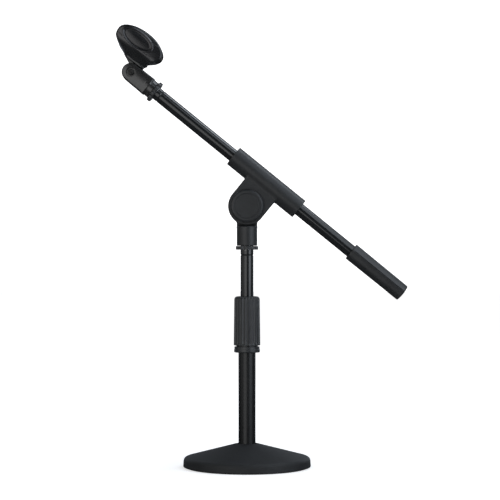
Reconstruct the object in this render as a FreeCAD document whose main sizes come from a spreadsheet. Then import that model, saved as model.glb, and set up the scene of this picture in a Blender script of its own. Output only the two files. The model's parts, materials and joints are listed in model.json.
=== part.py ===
"""Boom microphone stand on a round cast foot, every piece a solid of its own.

Millimetres, +Z up. The origin is the middle of the foot's underside, the upright stands
on +Z, the boom swings in the XZ plane and -Y is the front, where the round cap is.

Four frames are used. "upright" is the stand itself. "head" has its origin at the boom
pivot, with X along the boom towards the counterweight and Z square to the boom. "rod" is
the head frame moved onto the boom's own axis. "tip" is the rod frame moved to the screw
of the clip's yoke, and "clip" is the tip frame leant a little to how the clip rests.
"""
import FreeCAD, Part
import math
import operator
import os
import types

import Sketcher
from FreeCAD import Placement, Rotation, Vector

# --------------------------------------------------------------------------- sizes

VALUES = {
    # fits between neighbouring pieces
    "press_gap": 0.02,
    "running_gap": 0.05,
    "thread_gap": 0.08,
    "bolt_gap": 0.3,
    "insert_inset": 0.5,
    # cast foot and what fixes the upright to it
    "base_radius": 78.1,
    "base_draft": 0.7,
    "base_lift": 1.0,
    "base_top": 29.0,
    "base_flat_radius": 13.5,
    "base_slope": 15.0,
    "base_shoulder": 5.0,
    "base_hollow_radius": 60.0,
    "base_hollow_top": 9.0,
    "base_sink_radius": 13.0,
    "base_sink_top": 14.0,
    "base_socket_depth": 2.0,
    "foot_ring_inner": 66.0,
    "foot_ring_outer": 75.0,
    "foot_ring_thick": 2.4,
    "bolt_radius": 5.0,
    "bolt_head_across": 16.0,
    "bolt_head_height": 6.4,
    "bolt_end_inset": 2.0,
    "flat_washer_radius": 10.0,
    "flat_washer_thick": 2.0,
    "spring_washer_radius": 9.0,
    "spring_washer_thick": 2.4,
    "spring_washer_split": 1.2,
    # tubes
    "tube_radius": 8.0,
    "tube_wall": 1.2,
    "thread_radius": 7.85,
    "lower_radius": 10.5,
    "lower_wall": 1.5,
    "lower_tube_top": 165.0,
    "plug_length": 17.0,
    "upper_tube_foot": 97.0,
    "upper_tube_top": 265.6,
    "guide_length": 12.0,
    "stud_grip": 20.0,
    "stud_point": 1.0,
    "crimp_floor_half": 0.3,
    "crimp_mouth_half": 1.2,
    "crimp_depth": 0.5,
    "crimp_inset": 6.1,
    # height clutch
    "seat_bottom": 140.4,
    "seat_top": 147.5,
    "seat_radius": 16.05,
    "seat_edge": 0.8,
    "seat_sleeve_radius": 13.2,
    "seat_sleeve_top": 176.0,
    "grip_bottom": 149.0,
    "grip_top": 208.9,
    "grip_foot_radius": 16.3,
    "grip_head_radius": 15.65,
    "grip_bore_radius": 13.6,
    "grip_mouth_radius": 8.6,
    "grip_lip": 5.4,
    "grip_edge": 4.0,
    "grip_taper_gap": 0.8,
    "grip_shelf": 3.0,
    "flute_radius": 1.5,
    "flute_depth": 0.9,
    "flute_count": 24.0,
    "collet_radius": 12.6,
    "collet_top_radius": 9.9,
    "collet_top": 201.0,
    "collet_foot_gap": 0.2,
    "collet_foot_inset": 0.1,
    "collet_rim": 2.0,
    "collet_slit": 1.6,
    "collet_slit_floor": 4.0,
    "collet_slit_count": 4.0,
    # lobed lock rings
    "lock_ring_radius": 13.9,
    "lock_ring_length": 4.6,
    "lock_ring_gap": 0.3,
    "lock_notch_radius": 3.0,
    "lock_notch_reach": 1.1,
    "lock_lobes": 10.0,
    # swivel
    "socket_bottom": 270.8,
    "socket_radius": 12.6,
    "socket_chamfer": 1.0,
    "socket_insert_radius": 10.2,
    "socket_insert_length": 17.5,
    "stud_top": 288.0,
    "pivot_height": 319.3,
    "ear_radius": 23.1,
    "ear_clearance": 0.6,
    "ear_half": 10.0,
    "ear_gap": 0.9,
    "rear_ear_front": 0.8,
    "neck_root": 2.0,
    "rib_half": 2.0,
    "rib_foot": 6.0,
    "rib_rise": 4.0,
    # boom holder and the pivot stack
    "boom_lean": 39.1,
    "boom_offset": 37.3,
    "sleeve_radius": 12.9,
    "sleeve_half": 51.7,
    "sleeve_bore": 8.6,
    "bush_radius": 10.2,
    "bush_length": 14.0,
    "shoe_half": 6.0,
    "shoe_thick": 5.0,
    "shoe_front": -7.4,
    "shoe_top_inset": 2.0,
    "shoe_gap": 0.1,
    "pivot_radius": 4.0,
    "pivot_head_radius": 8.0,
    "pivot_head_height": 4.0,
    "pivot_head_sink": 2.0,
    "pivot_head_taper": 1.5,
    "pivot_head_gap": 0.2,
    "pivot_end": 27.4,
    "cap_radius": 20.4,
    "cap_front": -16.0,
    "cap_rim_radius": 17.4,
    "cap_rim_step": 0.7,
    "cap_edge": 0.9,
    "cap_edge_depth": 1.4,
    "cap_hollow_gap": 1.0,
    "cap_floor_gap": 0.6,
    "friction_radius": 22.0,
    "friction_thick": 1.4,
    "pivot_washer_radius": 9.5,
    "pivot_washer_thick": 1.6,
    "knob_stack_gap": 0.4,
    "knob_radius": 19.0,
    "knob_length": 19.0,
    "knob_notch_radius": 7.5,
    "knob_notch_reach": 4.0,
    "knob_lobes": 5.0,
    "knob_edge": 2.0,
    "knob_insert_radius": 6.45,
    "knob_insert_length": 14.0,
    "knob_insert_inset": 1.0,
    # boom rod, measured from the clip's screw towards the counterweight
    "clip_reach": 212.9,
    "rod_start": 39.8,
    "rod_end": 395.0,
    "rod_crimp": 46.5,
    "boom_stud_start": 15.5,
    "weight_start": 346.8,
    "weight_length": 81.7,
    "weight_radius": 11.4,
    "weight_end_radius": 10.95,
    "weight_core_radius": 9.4,
    "weight_wall_end": 3.0,
    "weight_wall_start": 4.0,
    "weight_rod_gap": 0.1,
    "weight_facets": 8.0,
    "weight_groove_radius": 0.7,
    "weight_end_round": 1.5,
    "boom_ring_start": 34.9,
    "boom_ring_radius": 13.6,
    # yoke of the clip
    "yoke_end_radius": 11.2,
    "yoke_half_width": 11.0,
    "yoke_block_length": 28.0,
    "yoke_root_half": 11.8,
    "yoke_root_bite": 2.0,
    "yoke_barrel_end": 34.6,
    "yoke_barrel_radius": 11.0,
    "yoke_slot_half": 4.1,
    "yoke_slot_end": 12.5,
    "yoke_insert_start": 15.0,
    "yoke_insert_radius": 9.4,
    "yoke_edge": 1.2,
    "clip_screw_radius": 3.0,
    "clip_screw_head": 5.6,
    "clip_screw_sink": 3.4,
    "clip_screw_slot": 1.3,
    "screw_slot_depth": 1.2,
    "screw_head_inset": 1.2,
    "screw_head_gap": 1.8,
    "screw_head_taper": 0.4,
    "nut_across": 10.0,
    "nut_seat": 6.5,
    "nut_thick": 4.0,
    "lock_washer_thick": 1.0,
    # microphone clip
    "clip_rest_lean": 2.5,
    "clip_centre": -11.3,
    "clip_half_length": 33.1,
    "clip_half_height": 18.5,
    "clip_axis_height": 32.6,
    "clip_bore": 15.0,
    "clip_wall_width": 19.5,
    "clip_plan_half_length": 65.0,
    "clip_wall_height": 22.7,
    "clip_mouth_half": 9.0,
    "clip_plate_height": 11.6,
    "clip_plate_start": -17.6,
    "clip_plate_end": 8.9,
    "clip_plate_half": 6.5,
    "clip_saddle_height": 18.4,
    "clip_saddle_start": -31.0,
    "clip_saddle_end": 11.2,
    "clip_saddle_half": 12.5,
    "tongue_half": 3.8,
    "tongue_radius": 9.3,
    "tongue_stem_end": 8.3,
    "tongue_heel_height": 7.5,
    "tongue_heel_start": -10.0,
}

SIGNS = {"+": operator.add, "-": operator.sub, "*": operator.mul, "/": operator.truediv}


class Size:
    """A number together with the sheet expression that it comes from."""

    def __init__(self, number, text):
        self.number = number
        self.text = text

    def __add__(self, other):
        return joined(self, "+", other)

    def __radd__(self, other):
        return joined(other, "+", self)

    def __sub__(self, other):
        return joined(self, "-", other)

    def __rsub__(self, other):
        return joined(other, "-", self)

    def __mul__(self, other):
        return joined(self, "*", other)

    def __rmul__(self, other):
        return joined(other, "*", self)

    def __truediv__(self, other):
        return joined(self, "/", other)

    def __neg__(self):
        return joined(0, "-", self)


def as_size(value):
    return value if isinstance(value, Size) else Size(float(value), f"({float(value)})")


def joined(left, sign, right):
    left = as_size(left)
    right = as_size(right)
    return Size(SIGNS[sign](left.number, right.number), f"({left.text} {sign} {right.text})")


def sine(angle):
    return Size(math.sin(math.radians(angle.number)), f"sin({angle.text})")


def cosine(angle):
    return Size(math.cos(math.radians(angle.number)), f"cos({angle.text})")


def tangent(angle):
    return Size(math.tan(math.radians(angle.number)), f"tan({angle.text})")


doc = FreeCAD.newDocument("BoomMicrophoneStand")
sheet = doc.addObject("Spreadsheet::Sheet", "Sizes")
for row, (alias, value) in enumerate(VALUES.items(), start=1):
    sheet.set(f"A{row}", alias)
    sheet.set(f"B{row}", str(value))
    sheet.setAlias(f"B{row}", alias)
doc.recompute()
S = types.SimpleNamespace(
    **{alias: Size(value, f"Sizes.{alias}") for alias, value in VALUES.items()}
)

# --------------------------------------------------------------------------- frames

HALF = 0.5
FULL_TURN = 360.0
QUARTER_TURN = 90.0
HEX_SIDES = 6
PAST = 1  # how far one solid runs past the face that it joins or cuts
NEAR = 0.01  # tolerance for picking an edge by its place
CUBIC_MM_PER_CM3 = 1000
UPRIGHT = ((0, 0, 0), 0)
LEAN = S.boom_lean
HEAD = ((0, 0, S.pivot_height), LEAN)


def along_boom(distance, offset):
    """Frame at a distance along the boom and an offset square to it, from the pivot."""
    across = distance * cosine(LEAN) + offset * sine(LEAN)
    up = S.pivot_height - distance * sine(LEAN) + offset * cosine(LEAN)
    return (across, 0, up)


ROD = (along_boom(as_size(0), S.boom_offset), LEAN)
TIP = (along_boom(-S.clip_reach, S.boom_offset), LEAN)
CLIP = (TIP[0], LEAN - S.clip_rest_lean)

TURNS = {
    "x": Rotation(Vector(0, 1, 0), QUARTER_TURN),
    "y": Rotation(Vector(1, 0, 0), -QUARTER_TURN),
    "z": Rotation(),
}


def bind(thing, name, value):
    """Set one property, tied to the sheet when the value comes from it."""
    if isinstance(value, Size):
        thing.setExpression(name, value.text)
    else:
        setattr(thing, name, value)


def move(thing, at, rotation):
    """Place a thing, with each coordinate that is a size tied to the sheet."""
    thing.Placement = Placement(Vector(*[as_size(value).number for value in at]), rotation)
    for name, value in zip("xyz", at):
        if isinstance(value, Size):
            thing.setExpression(f"Placement.Base.{name}", value.text)


def finish(thing, label, frame):
    """Name a finished sub-part and stand it in its frame."""
    thing.Label = label
    at, lean = frame
    move(thing, at, Rotation(Vector(0, 1, 0), as_size(lean).number))
    PIECES.append(thing)
    return thing


PIECES = []

# --------------------------------------------------------------------------- solids


def cylinder(name, radius, length, at=(0, 0, 0), along="z"):
    solid = doc.addObject("Part::Cylinder", name)
    bind(solid, "Radius", radius)
    bind(solid, "Height", length)
    move(solid, at, TURNS[along])
    return solid


def cone(name, radius, far_radius, length, at=(0, 0, 0), along="z"):
    solid = doc.addObject("Part::Cone", name)
    bind(solid, "Radius1", radius)
    bind(solid, "Radius2", far_radius)
    bind(solid, "Height", length)
    move(solid, at, TURNS[along])
    return solid


def box(name, low, high):
    """Box between two corners."""
    solid = doc.addObject("Part::Box", name)
    for prop, start, end in zip(("Length", "Width", "Height"), low, high):
        bind(solid, prop, as_size(end) - start)
    move(solid, low, Rotation())
    return solid


def corner_radius(across_flats):
    """Radius of the circle through a hexagon's corners."""
    return across_flats * HALF / cosine(as_size(FULL_TURN * HALF / HEX_SIDES))


def hexagon(name, across_flats, length, at=(0, 0, 0), along="z"):
    solid = doc.addObject("Part::Prism", name)
    solid.Polygon = HEX_SIDES
    bind(solid, "Circumradius", corner_radius(across_flats))
    bind(solid, "Height", length)
    move(solid, at, TURNS[along])
    return solid


def fuse(name, solids):
    whole = doc.addObject("Part::MultiFuse", name)
    whole.Shapes = solids
    whole.Refine = True
    return whole


def common(name, solids):
    whole = doc.addObject("Part::MultiCommon", name)
    whole.Shapes = solids
    return whole


def cut(name, base, tools):
    whole = doc.addObject("Part::Cut", name)
    whole.Base = base
    whole.Tool = tools[0] if len(tools) == 1 else fuse(f"{name}_tools", tools)
    return whole


# --------------------------------------------------------------------------- bodies


def origin_part(body, role):
    return next(item for item in body.Origin.OriginFeatures if item.Role == role)


def new_body(label):
    return doc.addObject("PartDesign::Body", label)


def sketch_on(body, role, name, height=0):
    """Sketch on one of the body's own planes, lifted off it by a height."""
    sketch = body.newObject("Sketcher::SketchObject", name)
    sketch.AttachmentSupport = [(origin_part(body, role), "")]
    sketch.MapMode = "FlatFace"
    if isinstance(height, Size):
        sketch.setExpression("AttachmentOffset.Base.z", height.text)
    return sketch


def hold(sketch, kind, vertex, value):
    """Fix one coordinate of a sketch vertex, measured from the sketch's origin."""
    number = as_size(value).number
    if not isinstance(value, Size) and number == 0:
        axis = -2 if kind == "DistanceX" else -1
        sketch.addConstraint(Sketcher.Constraint("PointOnObject", *vertex, axis))
        return
    index = sketch.addConstraint(Sketcher.Constraint(kind, -1, 1, *vertex, number))
    if isinstance(value, Size):
        sketch.setExpression(f"Constraints[{index}]", value.text)


def outline(sketch, corners):
    """Closed outline of straight sides through corners, each an (across, up) pair."""
    first = sketch.GeometryCount
    count = len(corners)
    points = [Vector(as_size(across).number, as_size(up).number, 0) for across, up in corners]
    for index in range(count):
        side = Part.LineSegment(points[index], points[(index + 1) % count])
        sketch.addGeometry(side)
    for index in range(count):
        following = first + (index + 1) % count
        sketch.addConstraint(Sketcher.Constraint("Coincident", first + index, 2, following, 1))
    for index, (across, up) in enumerate(corners):
        hold(sketch, "DistanceX", (first + index, 1), across)
        hold(sketch, "DistanceY", (first + index, 1), up)


def ring(sketch, radius, at=(0, 0)):
    """Circle of a bound radius, its centre held from the sketch's origin."""
    centre = Vector(as_size(at[0]).number, as_size(at[1]).number, 0)
    index = sketch.addGeometry(Part.Circle(centre, Vector(0, 0, 1), as_size(radius).number))
    hold(sketch, "DistanceX", (index, 3), at[0])
    hold(sketch, "DistanceY", (index, 3), at[1])
    rule = sketch.addConstraint(Sketcher.Constraint("Radius", index, as_size(radius).number))
    bind_rule(sketch, rule, radius)


def bind_rule(sketch, rule, value):
    if isinstance(value, Size):
        sketch.setExpression(f"Constraints[{rule}]", value.text)


def turned(label, corners, role="XZ_Plane", axis="V_Axis"):
    """Body turned from an outline about one axis of its sketch."""
    body = new_body(label)
    sketch = sketch_on(body, role, f"{label}_outline")
    outline(sketch, corners)
    turn = body.newObject("PartDesign::Revolution", f"{label}_turn")
    turn.Profile = sketch
    turn.ReferenceAxis = (sketch, [axis])
    turn.Angle = FULL_TURN
    doc.recompute()
    return body


def turned_ring(label, inner, outer, start, end, axis="z"):
    """Plain tube or washer about the body's Z or X axis."""
    if axis == "x":
        corners = [(start, inner), (end, inner), (end, outer), (start, outer)]
        return turned(label, corners, axis="H_Axis")
    if axis == "y":
        corners = [(inner, start), (outer, start), (outer, end), (inner, end)]
        return turned(label, corners, role="XY_Plane")
    corners = [(inner, start), (outer, start), (outer, end), (inner, end)]
    return turned(label, corners)


def turned_groove(body, corners, axis="V_Axis"):
    """Groove round a turned body."""
    sketch = sketch_on(body, "XZ_Plane", f"{body.Name}_groove_outline")
    outline(sketch, corners)
    groove = body.newObject("PartDesign::Groove", f"{body.Name}_groove")
    groove.Profile = sketch
    groove.ReferenceAxis = (sketch, [axis])
    groove.Angle = FULL_TURN
    doc.recompute()


def round_edges(body, wanted, radius, kind="Fillet"):
    """Round or chamfer the edges of the body's tip that a test picks out."""
    tip = body.Tip
    names = [f"Edge{n}" for n, edge in enumerate(tip.Shape.Edges, start=1) if wanted(edge)]
    if not names:
        raise RuntimeError(f"{body.Name}: no edge to round")
    dressed = body.newObject(f"PartDesign::{kind}", f"{body.Name}_{kind.lower()}")
    dressed.Base = (tip, names)
    bind(dressed, "Radius" if kind == "Fillet" else "Size", radius)
    doc.recompute()


def on_circle(radius, place, axis=2):
    """Test for a circular edge of a radius whose centre has a given coordinate."""

    def test(edge):
        curve = edge.Curve
        if not isinstance(curve, Part.Circle):
            return False
        same_radius = abs(curve.Radius - as_size(radius).number) < NEAR
        return same_radius and abs(curve.Center[axis] - as_size(place).number) < NEAR

    return test


def repeat_round(body, feature, count, axis_role):
    """Repeat a feature evenly round one of the body's axes."""
    pattern = body.newObject("PartDesign::PolarPattern", f"{feature.Name}_round")
    pattern.Originals = [feature]
    pattern.Axis = (origin_part(body, axis_role), [""])
    pattern.Angle = FULL_TURN
    bind(pattern, "Occurrences", count)
    body.Tip = pattern
    doc.recompute()


def pocket(body, sketch, name, length=None, flip=False, both=False):
    """Cut a sketch into the body; the volume must drop."""
    before = body.Shape.Volume
    hollow = body.newObject("PartDesign::Pocket", name)
    hollow.Profile = sketch
    hollow.Reversed = flip
    hollow.Midplane = both
    if length is None:
        hollow.Type = "ThroughAll"
    else:
        bind(hollow, "Length", length)
    doc.recompute()
    if not body.Shape.Volume < before:
        raise RuntimeError(f"{name} cuts nothing")
    return hollow


def lobed(label, radius, bore, start, length, notch_radius, notch_reach, lobes, plane, axis):
    """Round piece whose rim is notched into lobes, with a bore through its middle."""
    body = new_body(label)
    blank = sketch_on(body, plane, f"{label}_blank", start)
    ring(blank, radius)
    ring(blank, bore)
    disc = body.newObject("PartDesign::Pad", f"{label}_disc")
    disc.Profile = blank
    bind(disc, "Length", length)
    doc.recompute()
    notch = sketch_on(body, plane, f"{label}_notch_outline", start)
    ring(notch, notch_radius, (radius + notch_radius - notch_reach, 0))
    scoop = pocket(body, notch, f"{label}_notch", flip=True)
    repeat_round(body, scoop, lobes, axis)
    return body


# --------------------------------------------------------------------------- foot


def base_casting():
    """Low iron cone, hollow below, with a groove for the foot ring and a bolt sink."""
    shoulder_radius = S.base_radius - S.base_draft
    shoulder = S.base_top - (shoulder_radius - S.base_flat_radius) * tangent(S.base_slope)
    hole = S.bolt_radius + S.bolt_gap
    socket = S.lower_radius + S.running_gap
    groove_inner = S.foot_ring_inner - S.running_gap
    groove_outer = S.foot_ring_outer + S.running_gap
    body = turned(
        "base_casting",
        [
            (hole, S.base_sink_top),
            (S.base_sink_radius, S.base_sink_top),
            (S.base_sink_radius, S.base_hollow_top),
            (S.base_hollow_radius, S.base_hollow_top),
            (S.base_hollow_radius, S.base_lift),
            (groove_inner, S.base_lift),
            (groove_inner, S.foot_ring_thick),
            (groove_outer, S.foot_ring_thick),
            (groove_outer, S.base_lift),
            (S.base_radius, S.base_lift),
            (shoulder_radius, shoulder),
            (S.base_flat_radius, S.base_top),
            (socket, S.base_top),
            (socket, S.base_top - S.base_socket_depth),
            (hole, S.base_top - S.base_socket_depth),
        ],
    )
    round_edges(body, on_circle(shoulder_radius, shoulder), S.base_shoulder)
    return finish(body, "base_casting", UPRIGHT)


def base_fixings():
    """Rubber foot ring, and the bolt with its two washers that hold the upright."""
    foot = turned_ring(
        "base_rubber_ring", S.foot_ring_inner, S.foot_ring_outer, 0, S.foot_ring_thick
    )
    finish(foot, "base_rubber_ring", UPRIGHT)

    flat_bottom = S.base_sink_top - S.flat_washer_thick
    spring_bottom = flat_bottom - S.spring_washer_thick
    inner = S.bolt_radius + S.bolt_gap
    flat = turned_ring(
        "base_flat_washer", inner, S.flat_washer_radius, flat_bottom, S.base_sink_top
    )
    finish(flat, "base_flat_washer", UPRIGHT)

    coil = turned_ring("spring_coil", inner, S.spring_washer_radius, spring_bottom, flat_bottom)
    split_half = S.spring_washer_split * HALF
    split = box(
        "spring_split",
        (0, -split_half, spring_bottom - PAST),
        (S.spring_washer_radius + PAST, split_half, flat_bottom + PAST),
    )
    finish(cut("spring_washer", coil, [split]), "base_spring_washer", UPRIGHT)

    head_bottom = spring_bottom - S.bolt_head_height
    head = hexagon("bolt_head", S.bolt_head_across, S.bolt_head_height, (0, 0, head_bottom))
    shank_length = S.base_top + S.plug_length - S.bolt_end_inset - spring_bottom
    shank = cylinder("bolt_shank", S.bolt_radius, shank_length, (0, 0, spring_bottom))
    finish(fuse("bolt", [head, shank]), "base_bolt", UPRIGHT)


# --------------------------------------------------------------------------- upright


def lower_upright():
    """Outer tube and the threaded plug in its foot."""
    tube_foot = S.base_top - S.base_socket_depth
    bore = S.lower_radius - S.lower_wall
    tube = turned_ring("lower_tube", bore, S.lower_radius, tube_foot, S.lower_tube_top)
    finish(tube, "lower_tube", UPRIGHT)
    plug = turned_ring(
        "lower_tube_plug",
        S.bolt_radius + S.press_gap,
        bore - S.press_gap,
        S.base_top,
        S.base_top + S.plug_length,
    )
    finish(plug, "lower_tube_plug", UPRIGHT)


def clutch_seat():
    """Collar fixed on the outer tube: a wide ring, and a sleeve that the grip screws on."""
    bore = S.lower_radius + S.press_gap
    body = turned(
        "clutch_seat",
        [
            (bore, S.seat_bottom),
            (S.seat_radius - S.seat_edge, S.seat_bottom),
            (S.seat_radius, S.seat_bottom + S.seat_edge),
            (S.seat_radius, S.seat_top),
            (S.seat_sleeve_radius, S.seat_top),
            (S.seat_sleeve_radius, S.seat_sleeve_top),
            (bore, S.seat_sleeve_top),
        ],
    )
    finish(body, "clutch_seat", UPRIGHT)


def clutch_collet():
    """Tapered collet, split from the top by four slits, round the sliding tube."""
    bore = S.tube_radius + S.running_gap
    foot = S.lower_tube_top + S.collet_foot_gap
    foot_radius = S.lower_radius - S.collet_foot_inset
    shoulder = S.seat_sleeve_top + S.press_gap
    body = turned(
        "clutch_collet",
        [
            (bore, foot),
            (foot_radius, foot),
            (foot_radius, shoulder),
            (S.collet_radius, shoulder),
            (S.collet_radius, S.seat_sleeve_top + S.collet_rim),
            (S.collet_top_radius, S.collet_top),
            (bore, S.collet_top),
        ],
    )
    slits = sketch_on(body, "XY_Plane", "collet_slits", S.collet_top)
    half = S.collet_slit * HALF
    reach = S.collet_radius + PAST
    outline(slits, [(-half, 0), (half, 0), (half, reach), (-half, reach)])
    slit_length = S.collet_top - S.seat_sleeve_top - S.collet_slit_floor
    slit = pocket(body, slits, "collet_slit", length=slit_length)
    repeat_round(body, slit, S.collet_slit_count, "Z_Axis")
    finish(body, "clutch_collet", UPRIGHT)


def clutch_grip():
    """Fluted grip, hollow for the seat and the collet, that the hand turns."""
    lip = S.grip_top - S.grip_lip
    shelf = S.seat_sleeve_top + S.grip_shelf
    body = turned(
        "clutch_grip",
        [
            (S.grip_bore_radius, S.grip_bottom),
            (S.grip_foot_radius, S.grip_bottom),
            (S.grip_head_radius, S.grip_top),
            (S.grip_mouth_radius, S.grip_top),
            (S.grip_mouth_radius, lip),
            (S.collet_top_radius + S.grip_taper_gap, lip),
            (S.collet_radius + S.grip_taper_gap, shelf),
            (S.grip_bore_radius, shelf),
        ],
    )
    round_edges(body, on_circle(S.grip_head_radius, S.grip_top), S.grip_edge)
    flutes = sketch_on(body, "XY_Plane", "flute_outline", S.grip_bottom)
    ring(flutes, S.flute_radius, (S.grip_foot_radius + S.flute_radius - S.flute_depth, 0))
    flute = pocket(body, flutes, "flute", flip=True)
    repeat_round(body, flute, S.flute_count, "Z_Axis")
    finish(body, "clutch_grip", UPRIGHT)


def upper_upright():
    """Sliding tube, crimped near its top onto the threaded stud, with its guide bush."""
    crimp = S.upper_tube_top - S.crimp_inset
    bore = S.tube_radius - S.tube_wall
    tube = turned_ring("upper_tube", bore, S.tube_radius, S.upper_tube_foot, S.upper_tube_top)
    turned_groove(
        tube,
        [
            (S.tube_radius - S.crimp_depth, crimp - S.crimp_floor_half),
            (S.tube_radius + PAST, crimp - S.crimp_mouth_half),
            (S.tube_radius + PAST, crimp + S.crimp_mouth_half),
            (S.tube_radius - S.crimp_depth, crimp + S.crimp_floor_half),
        ],
    )
    finish(tube, "upper_tube", UPRIGHT)

    root_radius = bore - S.running_gap
    stud = turned(
        "upper_tube_stud",
        [
            (0, S.upper_tube_top - S.stud_grip),
            (root_radius, S.upper_tube_top - S.stud_grip),
            (root_radius, S.upper_tube_top),
            (S.thread_radius, S.upper_tube_top),
            (S.thread_radius, S.stud_top - S.stud_point),
            (S.thread_radius - S.stud_point, S.stud_top),
            (0, S.stud_top),
        ],
    )
    finish(stud, "upper_tube_stud", UPRIGHT)

    bush = turned_ring(
        "tube_guide_bush",
        S.tube_radius + S.press_gap,
        S.lower_radius - S.lower_wall - S.running_gap,
        S.upper_tube_foot,
        S.upper_tube_foot + S.guide_length,
    )
    finish(bush, "tube_guide_bush", UPRIGHT)


def upper_lock_ring():
    """Lobed ring on the upper stud that locks the socket."""
    body = lobed(
        "upper_lock_ring",
        S.lock_ring_radius,
        S.thread_radius + S.thread_gap,
        S.upper_tube_top + S.lock_ring_gap,
        S.lock_ring_length,
        S.lock_notch_radius,
        S.lock_notch_reach,
        S.lock_lobes,
        "XY_Plane",
        "Z_Axis",
    )
    finish(body, "upper_lock_ring", UPRIGHT)


# --------------------------------------------------------------------------- head


def swivel_socket():
    """Socket for the stud, cut away in front, carrying the rear ear of the pivot."""
    front_top = S.pivot_height - S.ear_radius - S.ear_clearance
    barrel_length = front_top - S.socket_bottom
    chamfer = S.socket_chamfer
    skirt = cone(
        "socket_skirt", S.socket_radius - chamfer, S.socket_radius, chamfer, (0, 0, S.socket_bottom)
    )
    barrel = cylinder(
        "socket_barrel",
        S.socket_radius,
        barrel_length - chamfer,
        (0, 0, S.socket_bottom + chamfer),
    )
    ear_front = S.rear_ear_front
    ear = cylinder(
        "rear_ear", S.ear_radius, S.ear_half - ear_front, (0, ear_front, S.pivot_height), "y"
    )
    neck = box(
        "rear_neck",
        (-S.socket_radius, ear_front, front_top - S.neck_root),
        (S.socket_radius, S.ear_half, S.pivot_height),
    )
    rib = box(
        "rear_rib",
        (-S.rib_half, ear_front, S.socket_bottom + S.rib_foot),
        (S.rib_half, S.socket_radius, front_top + S.rib_rise),
    )
    bolt_way = cylinder(
        "socket_bolt_way",
        S.pivot_radius + S.running_gap,
        S.ear_half * 2,
        (0, 0, S.pivot_height),
        "y",
    )
    insert_way = cylinder(
        "socket_insert_way",
        S.socket_insert_radius,
        S.socket_insert_length + PAST,
        (0, 0, S.socket_bottom - PAST),
    )
    whole = fuse("socket_whole", [skirt, barrel, ear, neck, rib])
    socket = cut("socket_bored", whole, [bolt_way, insert_way])
    finish(socket, "swivel_socket", UPRIGHT)

    insert = turned_ring(
        "socket_thread_insert",
        S.thread_radius + S.thread_gap,
        S.socket_insert_radius - S.press_gap,
        S.socket_bottom + S.insert_inset,
        S.socket_bottom + S.socket_insert_length,
    )
    finish(insert, "socket_thread_insert", UPRIGHT)


def boom_holder():
    """Sleeve for the boom on a web whose front half goes on down as the front ear."""
    sleeve = cylinder(
        "holder_sleeve", S.sleeve_radius, S.sleeve_half * 2, (-S.sleeve_half, 0, S.boom_offset), "x"
    )
    web = box(
        "holder_web",
        (-S.ear_radius, -S.ear_half, 0),
        (S.ear_radius, S.ear_half, S.boom_offset),
    )
    ear = cylinder(
        "front_ear", S.ear_radius, S.ear_half - S.ear_gap, (0, -S.ear_half, 0), "y"
    )
    rear_clearance = cylinder(
        "rear_ear_way",
        S.ear_radius + S.ear_clearance,
        S.ear_half * 2,
        (0, -S.ear_gap, 0),
        "y",
    )
    bore = cylinder(
        "holder_bore",
        S.sleeve_bore,
        (S.sleeve_half + PAST) * 2,
        (-S.sleeve_half - PAST, 0, S.boom_offset),
        "x",
    )
    seats = [
        cylinder(name, S.bush_radius, S.bush_length + PAST, (start, 0, S.boom_offset), "x")
        for name, start in (
            ("near_seat", -S.sleeve_half - PAST),
            ("far_seat", S.sleeve_half - S.bush_length),
        )
    ]
    shoe_back = S.shoe_front + S.shoe_thick
    shoe_way = box(
        "shoe_way",
        (-S.shoe_half - S.shoe_gap, S.shoe_front - S.shoe_gap, 0),
        (S.shoe_half + S.shoe_gap, shoe_back + S.shoe_gap, S.boom_offset),
    )
    bolt_way = cylinder(
        "holder_bolt_way", S.pivot_radius + S.press_gap, S.ear_half * 2, (0, -S.ear_half, 0), "y"
    )
    head_way = cylinder(
        "bolt_head_way",
        S.pivot_head_radius + S.pivot_head_gap,
        S.pivot_head_sink,
        (0, -S.ear_half, 0),
        "y",
    )
    whole = fuse("holder_whole", [sleeve, web, ear])
    holder = cut(
        "holder_bored", whole, [rear_clearance, bore, shoe_way, bolt_way, head_way, *seats]
    )
    finish(holder, "boom_holder", HEAD)


def sleeve_bushes():
    """Two plastic bushes in the ends of the sleeve, in which the boom slides."""
    outer = S.bush_radius - S.press_gap
    bore = S.tube_radius + S.running_gap
    inner_end = S.sleeve_half - S.bush_length
    near = turned_ring("sleeve_bush_clip_end", bore, outer, -S.sleeve_half, -inner_end, "x")
    finish(near, "sleeve_bush_clip_end", ROD)
    far = turned_ring("sleeve_bush_weight_end", bore, outer, inner_end, S.sleeve_half, "x")
    finish(far, "sleeve_bush_weight_end", ROD)


def clamp_shoe():
    """Block between the pivot bolt and the boom, hollowed to the boom's curve."""
    block = box(
        "shoe_block",
        (-S.shoe_half, S.shoe_front, S.pivot_radius + S.shoe_gap),
        (S.shoe_half, S.shoe_front + S.shoe_thick, S.boom_offset - S.shoe_top_inset),
    )
    rod_way = cylinder(
        "shoe_rod_way",
        S.tube_radius + S.running_gap,
        S.shoe_half * 4,
        (-S.shoe_half * 2, 0, S.boom_offset),
        "x",
    )
    finish(cut("shoe", block, [rod_way]), "clamp_shoe", HEAD)


def pivot_bolt():
    """Low-headed bolt through both ears to the knob behind."""
    seat = S.pivot_head_sink - S.ear_half
    shank = cylinder("pivot_shank", S.pivot_radius, S.pivot_end - seat, (0, seat, 0), "y")
    head = cone(
        "pivot_head",
        S.pivot_head_radius - S.pivot_head_taper,
        S.pivot_head_radius,
        S.pivot_head_height,
        (0, seat - S.pivot_head_height, 0),
        "y",
    )
    finish(fuse("pivot_bolt_whole", [shank, head]), "pivot_bolt", HEAD)


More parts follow.
